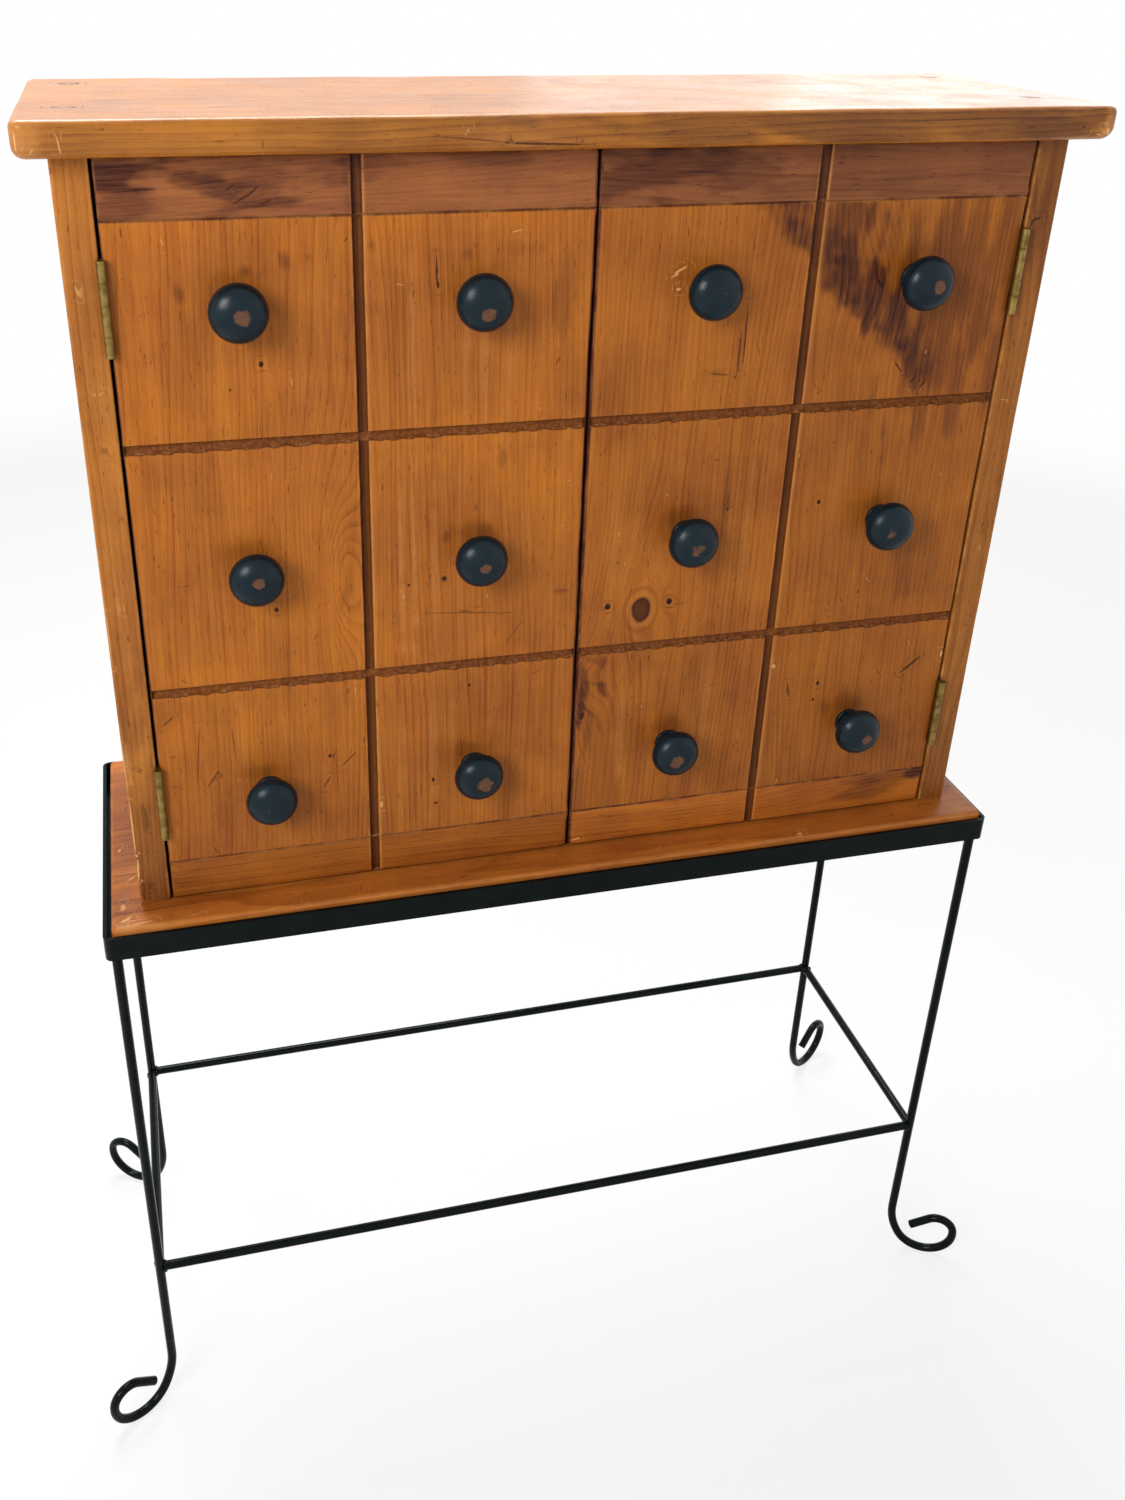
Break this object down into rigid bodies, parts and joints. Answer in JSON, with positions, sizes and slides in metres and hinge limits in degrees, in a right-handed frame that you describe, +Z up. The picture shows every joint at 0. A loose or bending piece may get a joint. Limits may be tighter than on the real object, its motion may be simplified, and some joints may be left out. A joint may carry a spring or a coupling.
{
  "type": "chest on stand",
  "caption": "Small pine cabinet on a black iron stand with scroll feet; two hinged doors grooved to look like rows of drawers, each mock drawer with a dark round knob.",
  "frame": {"origin": "on the floor, under the middle of the stand", "axes": "+X to the right of a person facing the doors, +Y from the doors to the back, +Z up"},
  "size_m": [0.8316, 0.3118, 1.101],
  "materials": {
    "top_pine": "gloss varnish",
    "plug_pine": "gloss varnish",
    "side_pine": "gloss varnish",
    "base_pine": "gloss varnish",
    "door_pine": "gloss varnish",
    "cleat_pine": "gloss varnish",
    "back_pine": "satin",
    "shelf_pine": "satin",
    "knob_wood": "satin dark paint",
    "brass": "aged satin",
    "steel": "zinc plated",
    "catch_plastic": "matt",
    "iron": "satin black paint"
  },
  "bodies": {
    "stand": {"rim_front": "iron", "rim_back": "iron", "rim_left": "iron", "rim_right": "iron", "leg_front_left": "iron", "leg_front_right": "iron", "leg_back_left": "iron", "leg_back_right": "iron", "stretcher_front": "iron", "stretcher_back": "iron", "stretcher_left": "iron", "stretcher_right": "iron"},
    "cabinet": {"top_board": "top_pine", "top_plugs": "plug_pine", "side_board_left": "side_pine", "side_board_right": "side_pine", "base_board_front": "base_pine", "base_board_rear": "base_pine", "back_panel": "back_pine", "back_nails": "steel", "shelf_lower": "shelf_pine", "shelf_upper": "shelf_pine", "shelf_pins": "brass", "carcass_screws": "steel", "side_leaf_left_low": "brass", "side_leaf_left_high": "brass", "side_leaf_right_low": "brass", "side_leaf_right_high": "brass", "hinge_pins": "brass", "side_leaf_screws": "brass", "magnetic_catch": "catch_plastic", "catch_screws": "steel"},
    "left_door": {"door_panel_left": "door_pine", "top_cleat_left": "cleat_pine", "bottom_cleat_left": "cleat_pine", "door_leaf_left_low": "brass", "door_leaf_left_high": "brass", "door_leaf_screws_left": "brass", "knob_screws_left": "steel", "strike_plate_left": "steel", "knob_left_1": "knob_wood", "knob_left_2": "knob_wood", "knob_left_3": "knob_wood", "knob_left_4": "knob_wood", "knob_left_5": "knob_wood", "knob_left_6": "knob_wood"},
    "right_door": {"door_panel_right": "door_pine", "top_cleat_right": "cleat_pine", "bottom_cleat_right": "cleat_pine", "door_leaf_right_low": "brass", "door_leaf_right_high": "brass", "door_leaf_screws_right": "brass", "knob_screws_right": "steel", "strike_plate_right": "steel", "knob_right_1": "knob_wood", "knob_right_2": "knob_wood", "knob_right_3": "knob_wood", "knob_right_4": "knob_wood", "knob_right_5": "knob_wood", "knob_right_6": "knob_wood"}
  },
  "joints": [
    {"name": "cabinet_lift", "type": "slide", "parent": "stand", "child": "cabinet", "axis": [0, 0, 1], "range_m": [0, 0.12]},
    {"name": "left_door_hinge", "type": "hinge", "parent": "cabinet", "child": "left_door", "pos_m": [-0.315, -0.09835, 0.8065], "axis": [0, 0, -1], "range_deg": [0, 170]},
    {"name": "right_door_hinge", "type": "hinge", "parent": "cabinet", "child": "right_door", "pos_m": [0.318, -0.09835, 0.8065], "axis": [0, 0, 1], "range_deg": [0, 170]}
  ]
}
